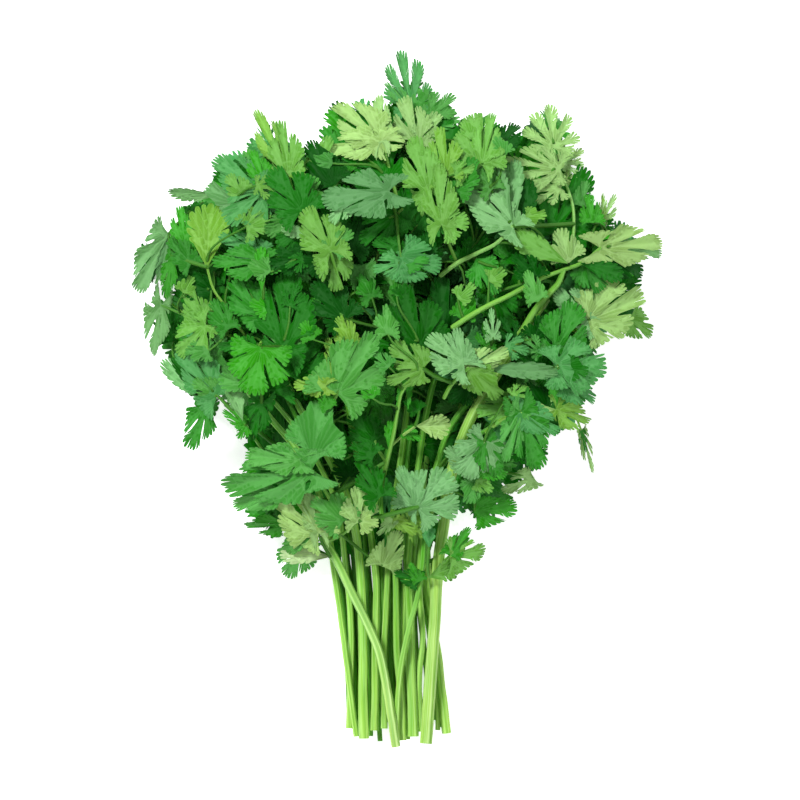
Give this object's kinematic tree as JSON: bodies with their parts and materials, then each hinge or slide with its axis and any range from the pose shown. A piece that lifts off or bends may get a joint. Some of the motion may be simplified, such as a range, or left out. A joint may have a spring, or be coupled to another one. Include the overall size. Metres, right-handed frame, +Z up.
{
  "type": "coriander bunch",
  "caption": "Cut bunch of fresh coriander lying on its side: slim bare stems at one end, a dense rounded head of lobed, toothed leaves at the other.",
  "frame": {"origin": "on the surface the bunch lies on, below the middle of its bounding box", "axes": "+Y along the bunch from the cut stem ends to the leaf tips, +X across it, +Z up from the surface; millimetres in the source, metres in the record"},
  "size_m": [0.2313, 0.3005, 0.0876],
  "materials": {
    "stem": "smooth, faintly ribbed plant stem",
    "leaf_light": "soft matt young leaf",
    "leaf_mid": "soft satin leaf",
    "leaf_dark": "soft satin leaf, older and darker"
  },
  "bodies": {
    "root": {"stem_01": "stem", "stem_02": "stem", "stem_03": "stem", "stem_04": "stem", "stem_05": "stem", "stem_06": "stem", "stem_07": "stem", "stem_08": "stem", "stem_09": "stem", "stem_10": "stem", "stem_11": "stem", "stem_12": "stem", "stem_13": "stem", "stem_14": "stem", "stem_15": "stem", "stem_16": "stem", "stem_17": "stem", "stem_18": "stem", "stem_19": "stem", "stem_20": "stem", "stem_21": "stem", "stem_22": "stem", "stem_23": "stem", "floor_leaf_01": "leaf_dark", "floor_leaf_02": "leaf_dark", "floor_leaf_03": "leaf_mid", "floor_leaf_04": "leaf_mid", "flank_leaf_01": "leaf_mid", "flank_leaf_02": "leaf_mid", "flank_leaf_03": "leaf_mid", "flank_leaf_04": "leaf_mid", "flank_leaf_05": "leaf_mid", "core_leaf_01": "leaf_dark", "core_leaf_02": "leaf_dark", "core_leaf_03": "leaf_dark", "leaf_01": "leaf_mid", "leaf_02": "leaf_light", "leaf_03": "leaf_light", "leaf_04": "leaf_mid", "leaf_05": "leaf_mid", "leaf_06": "leaf_light", "leaf_07": "leaf_light", "leaf_08": "leaf_light", "leaf_09": "leaf_mid", "leaf_10": "leaf_mid", "leaf_11": "leaf_mid", "leaf_12": "leaf_light", "leaf_13": "leaf_mid", "leaf_14": "leaf_dark", "leaf_15": "leaf_mid", "leaf_16": "leaf_light", "leaf_17": "leaf_light", "leaf_18": "leaf_mid", "leaf_19": "leaf_mid", "leaf_20": "leaf_mid", "leaf_21": "leaf_light", "leaf_22": "leaf_light", "leaf_23": "leaf_mid", "leaf_24": "leaf_light"}
  },
  "joints": []
}
